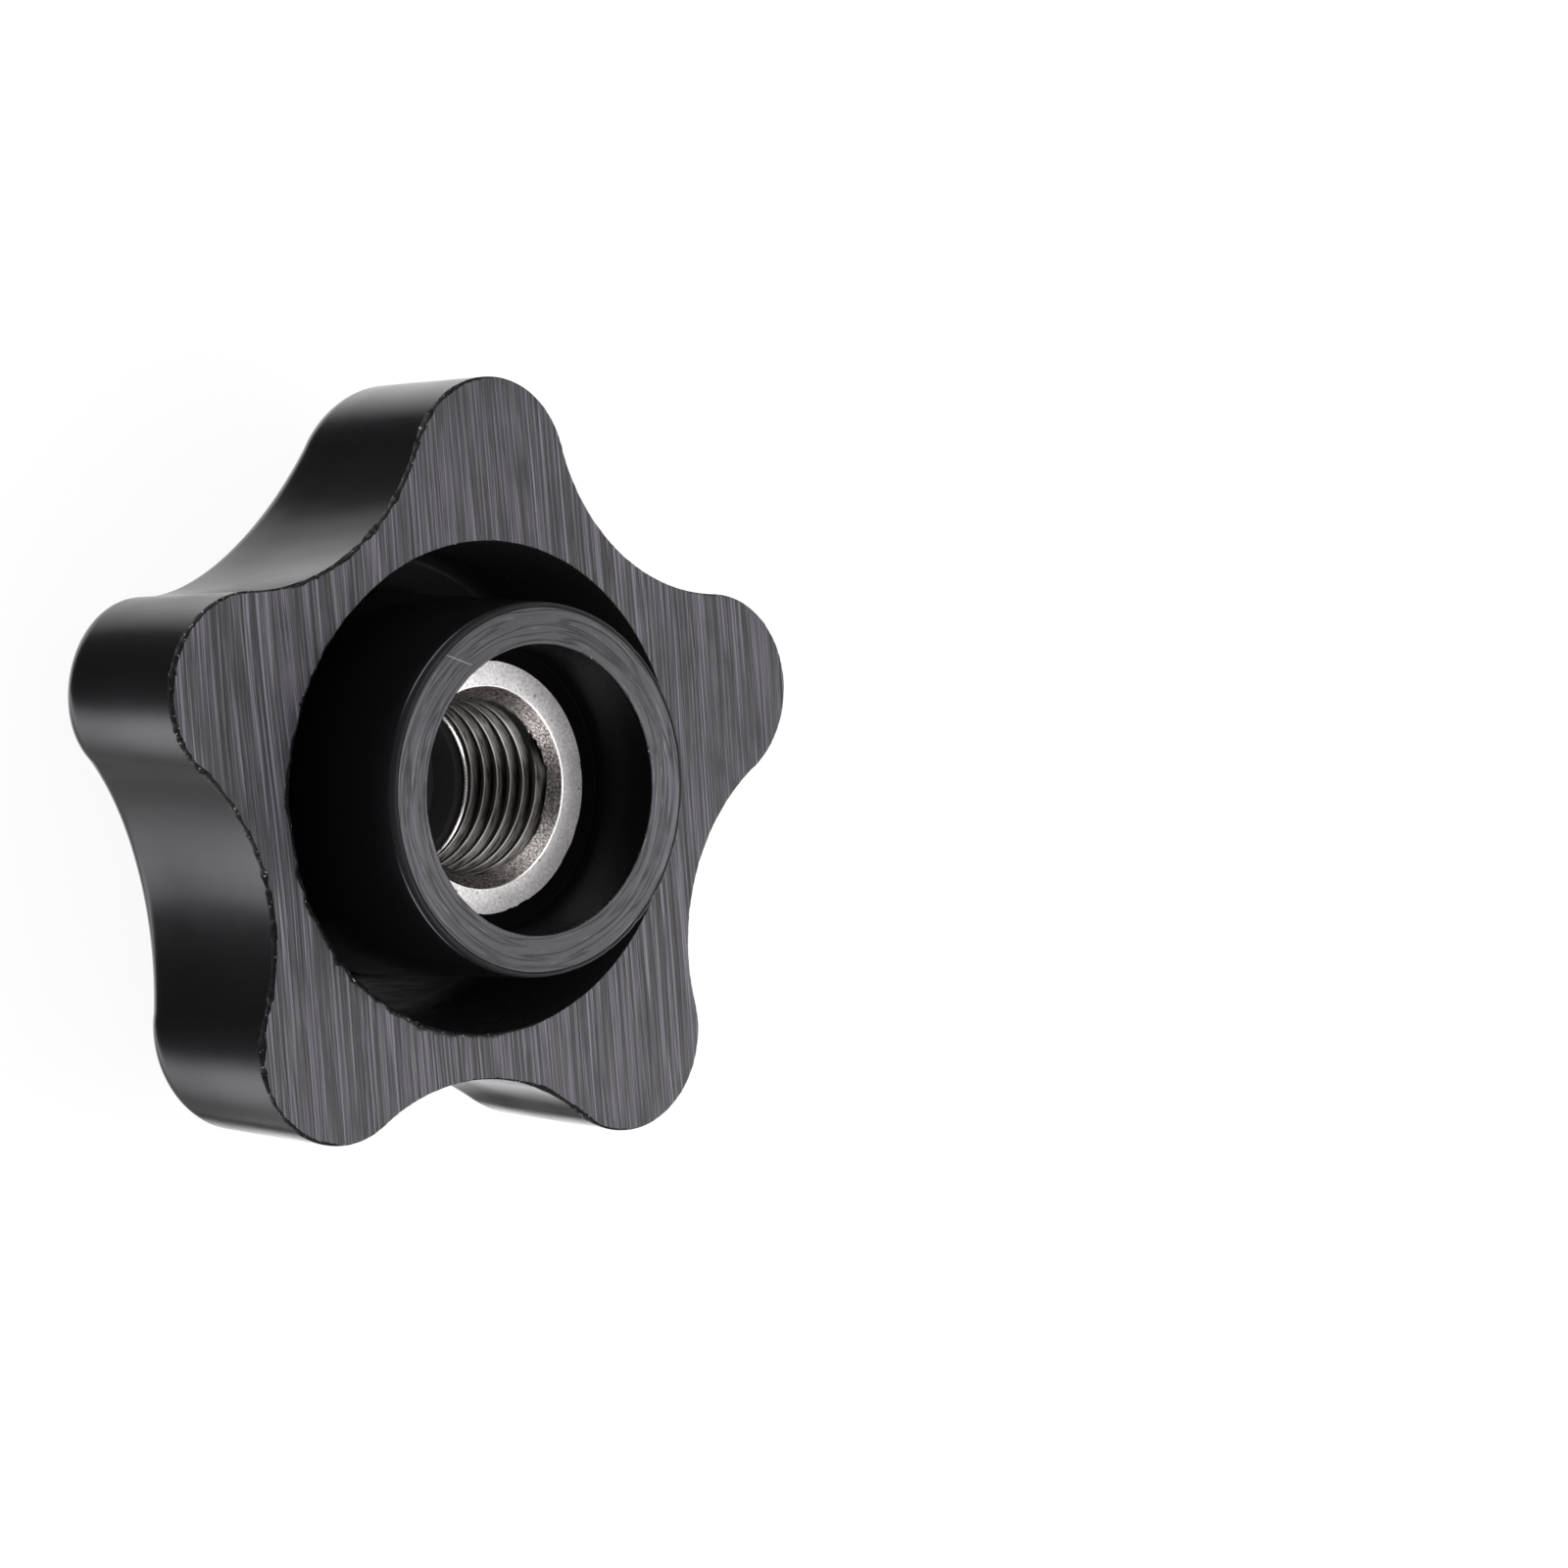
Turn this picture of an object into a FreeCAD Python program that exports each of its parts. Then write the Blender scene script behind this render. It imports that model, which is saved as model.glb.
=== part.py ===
import FreeCAD, Part
import math
import os
import Sketcher

# Star knob with a moulded-in threaded bush.
# Own frame: the flat of the crown lies on z = 0, +Z runs out of the mouth of the bore,
# and one lobe points along +Y.

LOBES = 5

# Driving sizes, in millimetres and degrees.
SIZES = [
    ("across_lobes", "50", "circle through the lobe tips at the star face"),
    ("lobe_tip_radius", "6", "outline radius of a lobe tip"),
    ("finger_radius", "13.2", "outline radius of a hollow between two lobes"),
    ("side_draft", "2.3", "draft of the side walls, degrees"),
    ("star_height", "16.8", "flat of the crown to the star face"),
    ("rim_height", "11.3", "star face to the crown surface at the tip circle"),
    ("crown_flat", "16", "diameter of the flat in the middle of the crown"),
    ("crown_radius", "65", "radius of the domed crown round its flat"),
    ("grip_edge_radius", "2.7", "rounding between the side walls and the crown"),
    ("thread_diameter", "12", "nominal diameter of the thread"),
    ("thread_pitch", "1.25", "pitch of the thread"),
    ("mouth_clearance", "0.15", "how far the countersinks reach outside the thread, on the radius"),
    ("mouth_depth", "0.85", "depth of the countersink at each end of the thread"),
    ("bush_wall", "1.8", "thread to the rim of a flange of the bush, on the radius"),
    ("bush_length", "8.6", "overall length of the bush"),
    ("bush_flange", "1.8", "thickness of each flange of the bush"),
    ("flange_lip", "1.2", "rim of a flange to a flat of the six-sided waist"),
    ("screw_room", "3", "depth of the plain hole under the bush"),
    ("counterbore_step", "1", "rim of the bush to the wall of the counterbore"),
    ("counterbore_depth", "5.4", "end of the collar to the face of the bush"),
    ("collar_wall", "2.55", "wall of the collar at its end"),
    ("collar_projection", "5.1", "star face to the end of the collar"),
    ("collar_edge", "0.25", "broken edge round the end of the collar"),
    ("recess_width", "3.65", "end of the collar to the mouth of the recess, on the radius"),
    ("recess_depth", "11", "star face to the floor of the recess"),
    ("recess_draft", "2", "draft of both walls of the recess, degrees"),
    ("recess_floor_radius", "0.8", "rounding at the floor of the recess"),
]

# Sizes that follow from the driving ones.
WORKED_OUT = [
    ("collar_end", "=star_height + collar_projection", "height of the whole knob"),
    ("recess_floor", "=star_height - recess_depth", "level of the floor of the recess"),
    ("bush_face", "=collar_end - counterbore_depth", "level of the open face of the bush"),
    ("bush_foot", "=bush_face - bush_length", "level of the hidden face of the bush"),
    ("core_radius", "=thread_diameter / 2 - 0.54127 * thread_pitch", "bore at the crests of the thread"),
    ("mouth_radius", "=thread_diameter / 2 + mouth_clearance", "rim of a countersink"),
    ("bush_radius", "=thread_diameter / 2 + bush_wall", "both flanges of the bush"),
    ("waist_corner", "=(bush_radius - flange_lip) / cos(30 deg)", "bore axis to a corner of the waist"),
    ("counterbore_radius", "=bush_radius + counterbore_step", "hole in the collar above the bush"),
    ("collar_radius", "=counterbore_radius + collar_wall", "end of the collar"),
    ("recess_radius", "=collar_radius + recess_width", "mouth of the recess"),
    ("tip_centre", "=across_lobes / 2 - lobe_tip_radius", "bore axis to the centre of a lobe tip"),
    ("crown_rise", "=star_height - rim_height", "level of the crown surface at the tip circle"),
    ("draft_slope", "=tan(recess_draft * 1 deg)", "how much a recess wall leans for each millimetre"),
    ("collar_root", "=collar_radius + (collar_end - recess_floor) * draft_slope",
     "radius of the collar at the floor of the recess"),
    ("recess_root", "=recess_radius - recess_depth * draft_slope",
     "radius of the outer wall at the floor of the recess"),
]

UPRIGHT = FreeCAD.Vector(0, 0, 1)

# Levels and radii that differ by less than this, in millimetres, are the same.
CLOSE = 0.001


def fill_sheet(doc):
    """Writes every size into the sheet under its own name."""
    sheet = doc.addObject("Spreadsheet::Sheet", "sizes")
    for row, (alias, value, meaning) in enumerate(SIZES + WORKED_OUT, start=1):
        sheet.set(f"A{row}", meaning)
        sheet.set(f"B{row}", value)
        sheet.setAlias(f"B{row}", alias)
    doc.recompute()
    return sheet


def from_sheet(words):
    """An expression in which every alias is read from the sheet."""
    aliases = sorted((alias for alias, _, _ in SIZES + WORKED_OUT), key=len, reverse=True)
    for number, alias in enumerate(aliases):
        words = words.replace(alias, f"<{number}>")
    for number, alias in enumerate(aliases):
        words = words.replace(f"<{number}>", f"sizes.{alias}")
    return words


def new_body(label):
    """An empty body whose label names its file."""
    body = doc.addObject("PartDesign::Body", label)
    body.Label = label
    body.Placement = FreeCAD.Placement()
    return body


def new_sketch(body, name, role, lift=None):
    """A sketch on one of the body's own planes, lifted along the plane's normal."""
    plane = next(f for f in body.Origin.OriginFeatures if f.Role == role)
    sketch = body.newObject("Sketcher::SketchObject", name)
    sketch.AttachmentSupport = [(plane, "")]
    sketch.MapMode = "FlatFace"
    if lift:
        sketch.setExpression("AttachmentOffset.Base.z", from_sheet(lift))
    doc.recompute()
    return sketch


def new_feature(body, kind, name, sketch):
    """A feature made from a sketch."""
    feature = body.newObject("PartDesign::" + kind, name)
    feature.Profile = sketch
    return feature


def spot(sketch, across, up):
    """The point of a sketch that two expressions give."""
    return FreeCAD.Vector(*(float(sketch.evalExpression(from_sheet(w))) for w in (across, up)), 0)


def bind(sketch, constraint, name, words):
    """Adds a dimension to a sketch and binds it to the sheet."""
    index = sketch.addConstraint(constraint)
    sketch.renameConstraint(index, name)
    sketch.setExpression(f"Constraints.{name}", from_sheet(words))


def pin(sketch, geometry, end, name, across, up):
    """Fixes a point of a sketch by two bound distances from the origin."""
    place = spot(sketch, across, up)
    for axis, value, words in (("X", place.x, across), ("Y", place.y, up)):
        constraint = Sketcher.Constraint("Distance" + axis, -1, 1, geometry, end, value)
        bind(sketch, constraint, f"{name}_{axis.lower()}", words)


def draw_corners(sketch, corners):
    """A closed run of straight lines through corners, each a pair of expressions."""
    spots = [spot(sketch, *corner) for corner in corners]
    first = sketch.GeometryCount
    following = [(i + 1) % len(corners) for i in range(len(corners))]
    for i, after in enumerate(following):
        sketch.addGeometry(Part.LineSegment(spots[i], spots[after]), False)
    for i, after in enumerate(following):
        sketch.addConstraint(Sketcher.Constraint("Coincident", first + i, 2, first + after, 1))
    for i, corner in enumerate(corners):
        pin(sketch, first + i, 1, f"corner{i}", *corner)


def draw_star(sketch):
    """The star outline: round lobe tips joined by tangent finger hollows."""
    tip = sheet.lobe_tip_radius
    hollow = sheet.finger_radius
    reach = sheet.tip_centre
    half = math.pi / LOBES
    near = reach * math.cos(half)
    aside = reach * math.sin(half)
    far = near + math.sqrt((tip + hollow) ** 2 - aside ** 2)
    tip_swing = math.atan2(far * math.sin(half), far * math.cos(half) - reach)
    hollow_swing = math.atan2(aside, far - near)
    for i in range(LOBES):
        lobe = math.pi / 2 + 2 * half * i
        valley = lobe + half
        tip_place = FreeCAD.Vector(math.cos(lobe), math.sin(lobe), 0) * reach
        hollow_place = FreeCAD.Vector(math.cos(valley), math.sin(valley), 0) * far
        tip_circle = Part.Circle(tip_place, UPRIGHT, tip)
        hollow_circle = Part.Circle(hollow_place, UPRIGHT, hollow)
        inward = valley + math.pi
        sketch.addGeometry(Part.ArcOfCircle(tip_circle, lobe - tip_swing, lobe + tip_swing), False)
        hollow_ends = (inward - hollow_swing, inward + hollow_swing)
        sketch.addGeometry(Part.ArcOfCircle(hollow_circle, *hollow_ends), False)
    for i in range(LOBES):
        tip_arc = 2 * i
        hollow_arc = tip_arc + 1
        next_tip = (tip_arc + 2) % (2 * LOBES)
        sketch.addConstraint(Sketcher.Constraint("Tangent", tip_arc, 2, hollow_arc, 2))
        sketch.addConstraint(Sketcher.Constraint("Tangent", hollow_arc, 1, next_tip, 1))
        angle = f"(90 deg + 360 deg * {i} / {LOBES})"
        pin(sketch, tip_arc, 3, f"tip{i}", f"tip_centre * cos{angle}", f"tip_centre * sin{angle}")
        if i:
            sketch.addConstraint(Sketcher.Constraint("Equal", 0, tip_arc))
            sketch.addConstraint(Sketcher.Constraint("Equal", 1, hollow_arc))
    bind(sketch, Sketcher.Constraint("Radius", 0, tip), "tip_radius", "lobe_tip_radius")
    bind(sketch, Sketcher.Constraint("Radius", 1, hollow), "hollow_radius", "finger_radius")


def draw_crown(sketch):
    """Half a section of what lies outside the domed crown: an arc closed by straight lines."""
    outline = [
        ("crown_flat / 2", "0"),
        ("across_lobes / 2", "crown_rise"),
        ("across_lobes / 2", "0"),
    ]
    places = [spot(sketch, *corner) for corner in outline]
    start, end = places[:2]
    chord = end - start
    across_chord = FreeCAD.Vector(-chord.y, chord.x, 0).normalize()
    centre_height = math.sqrt(sheet.crown_radius ** 2 - (chord.Length / 2) ** 2)
    centre = (start + end) * 0.5 + across_chord * centre_height
    angles = [math.atan2(p.y - centre.y, p.x - centre.x) for p in (start, end)]
    dome = Part.ArcOfCircle(Part.Circle(centre, UPRIGHT, sheet.crown_radius), *angles)
    sketch.addGeometry(dome, False)
    for a, b in zip(places[1:], places[2:] + places[:1]):
        sketch.addGeometry(Part.LineSegment(a, b), False)
    for i in range(len(outline)):
        sketch.addConstraint(Sketcher.Constraint("Coincident", i, 2, (i + 1) % len(outline), 1))
    for i, corner in enumerate(outline):
        pin(sketch, i, 1, f"corner{i}", *corner)
    bind(sketch, Sketcher.Constraint("Radius", 0, sheet.crown_radius), "dome", "crown_radius")


def draw_hexagon(sketch):
    """The six-sided waist of the bush."""
    angles = [f"({60 * i} deg)" for i in range(6)]
    draw_corners(sketch, [(f"waist_corner * cos{a}", f"waist_corner * sin{a}") for a in angles])


def turn(body, kind, name, sketch):
    """Adds or cuts a full turn of a sketch about the bore axis."""
    feature = new_feature(body, kind, name, sketch)
    feature.ReferenceAxis = (sketch, ["V_Axis"])
    feature.Angle = 360
    doc.recompute()
    return feature


def turn_corners(body, kind, name, corners):
    """Adds or cuts a full turn of a straight-sided section."""
    sketch = new_sketch(body, name + "Section", "XZ_Plane")
    draw_corners(sketch, corners)
    return turn(body, kind, name, sketch)


def cut_down(body, name, sketch, depth):
    """Cuts a sketch straight down by a bound depth."""
    pocket = new_feature(body, "Pocket", name, sketch)
    pocket.setExpression("Length", from_sheet(depth))
    doc.recompute()


def round_edges(body, name, base, wanted, radius):
    """Rounds the edges of a feature that pass a test."""
    names = [f"Edge{i}" for i, edge in enumerate(base.Shape.Edges, start=1) if wanted(edge)]
    fillet = body.newObject("PartDesign::Fillet", name)
    fillet.Base = (base, names)
    fillet.setExpression("Radius", from_sheet(radius))
    doc.recompute()


def between_side_and_crown(edge):
    """True for the edges where the side walls meet the domed crown."""
    box = edge.BoundBox
    return box.ZMin > CLOSE and box.ZMax < sheet.star_height - CLOSE


def round_recess_floor(edge):
    """True for the two circles at the floor of the recess."""
    if edge.Curve.TypeId != "Part::GeomCircle":
        return False
    radii = (sheet.collar_root, sheet.recess_root)
    on_floor = abs(edge.Curve.Center.z - sheet.recess_floor) < CLOSE
    return on_floor and min(abs(edge.Curve.Radius - r) for r in radii) < CLOSE


def make_knob_body():
    """The one moulding: a star with a domed crown, a recess, a collar and the seat of the bush."""
    body = new_body("knob_body")

    outline = new_sketch(body, "StarOutline", "XY_Plane", "star_height")
    draw_star(outline)
    star = new_feature(body, "Pad", "Star", outline)
    star.Reversed = True
    star.setExpression("Length", from_sheet("star_height"))
    star.setExpression("TaperAngle", from_sheet("-side_draft"))
    doc.recompute()

    outside_crown = new_sketch(body, "CrownSection", "XZ_Plane")
    draw_crown(outside_crown)
    crown = turn(body, "Groove", "Crown", outside_crown)
    round_edges(body, "GripEdge", crown, between_side_and_crown, "grip_edge_radius")

    turn_corners(body, "Revolution", "CollarBlank", [
        ("0", "recess_floor"),
        ("collar_root", "recess_floor"),
        ("collar_root", "collar_end"),
        ("0", "collar_end"),
    ])
    recess = turn_corners(body, "Groove", "Recess", [
        ("collar_root", "recess_floor"),
        ("collar_radius + collar_edge * draft_slope", "collar_end - collar_edge"),
        ("collar_radius - collar_edge", "collar_end"),
        ("recess_radius", "collar_end"),
        ("recess_radius", "star_height"),
        ("recess_root", "recess_floor"),
    ])
    round_edges(body, "RecessFloor", recess, round_recess_floor, "recess_floor_radius")

    turn_corners(body, "Groove", "BushSeat", [
        ("0", "collar_end"),
        ("counterbore_radius", "collar_end"),
        ("counterbore_radius", "bush_face"),
        ("bush_radius", "bush_face"),
        ("bush_radius", "bush_face - bush_flange"),
        ("core_radius", "bush_face - bush_flange"),
        ("core_radius", "bush_foot + bush_flange"),
        ("bush_radius", "bush_foot + bush_flange"),
        ("bush_radius", "bush_foot"),
        ("mouth_radius", "bush_foot"),
        ("core_radius", "bush_foot - mouth_depth"),
        ("core_radius", "bush_foot - screw_room"),
        ("0", "bush_foot - screw_room"),
    ])
    waist = new_sketch(body, "WaistOutline", "XY_Plane", "bush_face - bush_flange")
    draw_hexagon(waist)
    cut_down(body, "WaistSeat", waist, "bush_length - 2 * bush_flange")
    return body


def make_threaded_bush():
    """The metal bush: two round flanges, a six-sided waist between them and a bore through all."""
    body = new_body("threaded_bush")
    turn_corners(body, "Revolution", "Turned", [
        ("core_radius", "bush_foot + mouth_depth"),
        ("mouth_radius", "bush_foot"),
        ("bush_radius", "bush_foot"),
        ("bush_radius", "bush_face"),
        ("mouth_radius", "bush_face"),
        ("core_radius", "bush_face - mouth_depth"),
    ])
    around_waist = new_sketch(body, "AroundWaist", "XY_Plane", "bush_face - bush_flange")
    draw_hexagon(around_waist)
    rim = Part.Circle(FreeCAD.Vector(), UPRIGHT, sheet.bush_radius)
    ring = around_waist.addGeometry(rim, False)
    around_waist.addConstraint(Sketcher.Constraint("Coincident", ring, 3, -1, 1))
    bind(around_waist, Sketcher.Constraint("Radius", ring, rim.Radius), "rim", "bush_radius")
    cut_down(body, "Waist", around_waist, "bush_length - 2 * bush_flange")
    return body


def check(bodies):
    """Stops before anything is written if a feature failed or a shape is not one sound solid."""
    for thing in doc.Objects:
        if "Invalid" in thing.State or "Error" in thing.State:
            raise RuntimeError(f"{thing.Name} failed: {thing.State}")
    for body in bodies:
        shape = body.Shape
        if shape.isNull() or not shape.isValid() or len(shape.Solids) != 1:
            raise RuntimeError(f"{body.Label} is not one sound solid")


doc = FreeCAD.newDocument("star_knob")
sheet = fill_sheet(doc)
bodies = [make_knob_body(), make_threaded_bush()]
doc.recompute()
check(bodies)
os.makedirs("parts", exist_ok=True)
for body in bodies:
    body.Shape.exportStep(f"parts/{body.Label}.step")
    print(body.Label, "volume", round(body.Shape.Volume, 2), "faces", len(body.Shape.Faces))
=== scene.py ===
"""Star knob: its black moulding, its threaded bush and a plain studio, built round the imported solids."""

import math

import bmesh
import bpy
import numpy as np
from bpy.props import FloatProperty, FloatVectorProperty, IntProperty, PointerProperty
from mathutils import Matrix, Vector


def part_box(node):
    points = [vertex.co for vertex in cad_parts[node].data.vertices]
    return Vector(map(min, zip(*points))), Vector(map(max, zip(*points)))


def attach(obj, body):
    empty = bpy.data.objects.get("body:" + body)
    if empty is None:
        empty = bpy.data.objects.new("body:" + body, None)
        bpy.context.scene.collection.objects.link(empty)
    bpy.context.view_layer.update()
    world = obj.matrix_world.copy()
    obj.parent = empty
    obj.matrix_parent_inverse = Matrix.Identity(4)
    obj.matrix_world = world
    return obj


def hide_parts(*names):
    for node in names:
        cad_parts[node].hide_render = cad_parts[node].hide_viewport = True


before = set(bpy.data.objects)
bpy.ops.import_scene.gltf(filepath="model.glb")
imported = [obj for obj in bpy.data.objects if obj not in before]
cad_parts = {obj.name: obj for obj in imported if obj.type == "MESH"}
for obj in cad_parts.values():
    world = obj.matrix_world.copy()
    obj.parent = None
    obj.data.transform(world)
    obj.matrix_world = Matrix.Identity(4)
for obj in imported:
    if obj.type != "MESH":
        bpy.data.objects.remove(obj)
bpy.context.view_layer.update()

bl_info = {
    "name": "Star knob",
    "version": (1, 0, 0),
    "blender": (4, 5, 0),
    "location": "3D View > Sidebar > Star knob",
    "description": "Builds a five-lobed star knob with a moulded-in threaded bush, and its studio",
    "category": "Add Mesh",
}

MM = 0.001
TURN = 2 * math.pi
LOBES = 5
LOBE_STEP = TURN / LOBES
FIRST_LOBE = math.radians(90)

BODY_LOW, BODY_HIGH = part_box("knob_body")
BUSH_LOW, BUSH_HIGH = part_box("threaded_bush")


def length(name, description, default, unit="LENGTH"):
    """A size in metres, shown to a thousandth of a millimetre."""
    return FloatProperty(name=name, description=description, default=default, unit=unit, precision=6)


def colour(name, description, default):
    return FloatVectorProperty(
        name=name, description=description, default=default, size=3, subtype="COLOR", min=0, max=1
    )


class StarKnobBodySizes(bpy.types.PropertyGroup):
    reach: length("Reach", "Distance from the axis to the tip of a lobe", BODY_HIGH.y)
    lobe_radius: length("Lobe radius", "Radius of the round tip of a lobe", 6.0 * MM)
    hollow_radius: length("Hollow radius", "Radius of the hollow between two lobes", 13.2 * MM)
    draft: FloatProperty(
        name="Draft", description="Lean of the side walls", default=math.radians(2.3), subtype="ANGLE"
    )
    star_level: length("Star face", "Height of the sanded star face", 16.8 * MM)
    rim_height: length("Rim height", "Height of the side wall under the star face at a lobe's tip", 11.3 * MM)
    crown_flat: length("Crown flat", "Radius of the flat in the middle of the crown", 8.0 * MM)
    crown_radius: length("Crown radius", "Radius of the curve of the crown", 65.0 * MM)
    grip_radius: length("Grip edge", "Radius of the edge between crown and side wall", 2.7 * MM)
    recess_radius: length("Recess radius", "Outer radius of the ring recess at the star face", 15.0 * MM)
    recess_level: length("Recess floor", "Height of the floor of the ring recess", 5.8 * MM)
    recess_round: length("Recess round", "Radius of the corners of the recess floor", 0.8 * MM)
    recess_draft: FloatProperty(
        name="Recess draft", description="Lean of the recess walls", default=math.radians(2), subtype="ANGLE"
    )
    collar_radius: length("Collar radius", "Outer radius of the collar at its end", 11.35 * MM)
    collar_level: length("Collar end", "Height of the turned end of the collar", BODY_HIGH.z)
    collar_bore: length("Collar bore", "Radius of the hole in the collar", 8.8 * MM)


class StarKnobBushSizes(bpy.types.PropertyGroup):
    radius: length("Radius", "Outer radius of the two flanges", BUSH_HIGH.x)
    face_level: length("Face", "Height of the turned face of the bush", BUSH_HIGH.z)
    foot_level: length("Foot", "Height of the inner end of the bush", BUSH_LOW.z)
    flange: length("Flange", "Thickness of a flange", 1.8 * MM)
    waist: length("Waist", "Radius of the six corners of the waist", 7.62 * MM)
    thread_radius: length("Thread radius", "Radius of the root of the thread", 6.0 * MM)
    pitch: length("Pitch", "Pitch of the thread", 1.25 * MM)
    mouth_radius: length("Mouth radius", "Radius of the countersink at the face", 6.15 * MM)
    mouth_depth: length("Mouth depth", "Depth of the countersink", 0.85 * MM)
    hole_floor: length("Hole floor", "Height of the floor of the hole under the bush", 4.9 * MM)


class StarKnobFinish(bpy.types.PropertyGroup):
    moulded: colour("Moulded black", "Colour of the glossy moulded sides", (0.0065, 0.0065, 0.0075))
    sanded: colour("Sanded grey", "Colour of the belt-sanded star face", (0.087, 0.0807, 0.0985))
    sanded_dark: colour("Sanding grooves", "Colour down in the sanding grooves", (0.02, 0.0195, 0.0225))
    turned: colour("Turned grey", "Colour of the turned end of the collar", (0.051, 0.0478, 0.0595))
    steel: colour("Bush steel", "Colour of the face of the bush", (0.90, 0.87, 0.875))
    thread: colour("Thread steel", "Colour of the cut thread", (0.08, 0.0755, 0.071))
    cone: colour("Countersink steel", "Colour of the countersink of the bush", (0.42, 0.385, 0.37))
    seed: IntProperty(name="Seed", description="Seed of the chips along the edges", default=7, min=0)


class StarKnobStage(bpy.types.PropertyGroup):
    lens: FloatProperty(name="Lens", description="Focal length of the camera in millimetres", default=169.96)
    floor: colour("Floor", "Colour of the floor", (0.9, 0.9, 0.9))
    room: FloatProperty(name="Room light", description="Strength of the light from all round", default=0.45)
    sweep: FloatProperty(
        name="Sweep", description="Strength of the light that glossy sides see below the horizon", default=1.0
    )
    ceiling: FloatProperty(name="Ceiling", description="Light that glossy sides see overhead", default=0.1)
    key: FloatProperty(name="Key light", description="Power of the large softbox", default=3.0, unit="POWER")
    fill: FloatProperty(name="Fill light", description="Power of a side softbox", default=0.5, unit="POWER")
    near: FloatProperty(name="Near light", description="Power of a small softbox", default=0.11, unit="POWER")
    cards: FloatProperty(name="Cards", description="Strength of the cards that the bush mirrors", default=3.0)


GROUPS = {
    "star_knob_body": StarKnobBodySizes,
    "star_knob_bush": StarKnobBushSizes,
    "star_knob_finish": StarKnobFinish,
    "star_knob_stage": StarKnobStage,
}


# Meshes made of columns of points


def sheet_faces(rows, columns):
    """The quads between neighbouring rows of points. Every row is a closed ring of columns."""
    here = np.arange(columns)
    there = (here + 1) % columns
    quads = []
    for j in range(rows - 1):
        low = j * columns
        high = low + columns
        quads.append(np.stack([low + here, low + there, high + there, high + here], axis=1))
    return np.concatenate(quads)


def make_piece(name, points, faces, face_material, materials, sharp_angle):
    """A mesh object from an array of points and lists of faces, smooth but for edges over the sharp angle."""
    mesh = bpy.data.meshes.new(name)
    mesh.from_pydata(points.tolist(), [], [list(map(int, f)) for f in faces])
    for m in materials:
        mesh.materials.append(m)
    mesh.polygons.foreach_set("material_index", np.asarray(face_material, np.int32))
    mesh.shade_smooth()
    mesh.set_sharp_from_angle(angle=sharp_angle)
    mesh.update()
    piece = bpy.data.objects.new(name, mesh)
    bpy.context.scene.collection.objects.link(piece)
    return piece


def ripple(angles, random, waves, low, high):
    """A smooth random value round the axis, between 0 and 1, from a few waves."""
    value = np.zeros_like(angles)
    for _ in range(waves):
        value += np.sin(angles * random.integers(low, high) + random.uniform(0, TURN))
    return 0.5 + 0.5 * value / waves


def broken_edge(along, total, random, count, width, depth):
    """How far chips bite into an edge at each place along it. Width and depth are ranges in millimetres."""
    bite = np.zeros_like(along)
    width = [w * MM for w in width]
    depth = [d * MM for d in depth]
    for _ in range(count):
        centre = random.uniform(0, total)
        half = random.uniform(*width) / 2
        deep = random.uniform(*depth) * random.uniform(0.3, 1.0)
        lean = random.uniform(-0.6, 0.6)
        gap = (along - centre + total / 2) % total - total / 2
        side = gap / half
        shape = np.clip(1 - np.abs(side), 0, 1) * (1 + lean * side)
        bite = np.maximum(bite, deep * np.clip(shape * 1.6, 0, 1))
    return bite


# The black moulding


def star_outline(s, count):
    """Points, outward normals and distance along the star at its face, evenly spaced along its arcs."""
    tip_centre = s.reach - s.lobe_radius
    half_step = LOBE_STEP / 2
    between = s.lobe_radius + s.hollow_radius
    across = tip_centre * math.sin(half_step)
    hollow_centre = tip_centre * math.cos(half_step) + math.sqrt(between**2 - across**2)
    joint = math.atan2(
        hollow_centre * math.sin(half_step), hollow_centre * math.cos(half_step) - tip_centre
    )
    tip_length = 2 * s.lobe_radius * joint
    hollow_turn = joint - half_step
    hollow_length = 2 * s.hollow_radius * hollow_turn
    lobe_length = tip_length + hollow_length
    along = (np.arange(count) + 0.5) * LOBES * lobe_length / count
    lobe = np.floor(along / lobe_length)
    local = along - lobe * lobe_length
    axis = FIRST_LOBE + lobe * LOBE_STEP
    on_tip = local < tip_length
    turn_tip = -joint + local / s.lobe_radius
    turn_hollow = hollow_turn - (local - tip_length) / s.hollow_radius
    facing = np.where(on_tip, axis + turn_tip, axis + half_step + turn_hollow)
    normal = np.stack([np.cos(facing), np.sin(facing)], axis=1)
    centre_angle = np.where(on_tip, axis, axis + half_step)
    centre_reach = np.where(on_tip, tip_centre, hollow_centre)
    centre = centre_reach[:, None] * np.stack([np.cos(centre_angle), np.sin(centre_angle)], axis=1)
    arm = np.where(on_tip, s.lobe_radius, -s.hollow_radius)
    return centre + arm[:, None] * normal, normal, along, LOBES * lobe_length


def crown_height(s, radius):
    """Height of the domed crown over its flat, at a distance from the axis."""
    rise = s.star_level - s.rim_height
    chord = Vector((s.reach - s.crown_flat, rise))
    middle = Vector((s.crown_flat, 0)) + chord / 2
    up = Vector((-chord.y, chord.x)).normalized()
    centre = middle + up * math.sqrt(s.crown_radius**2 - chord.length_squared / 4)
    arc = centre.y - np.sqrt(s.crown_radius**2 - (radius - centre.x) ** 2)
    return np.where(radius > s.crown_flat, arc, 0.0)


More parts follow.
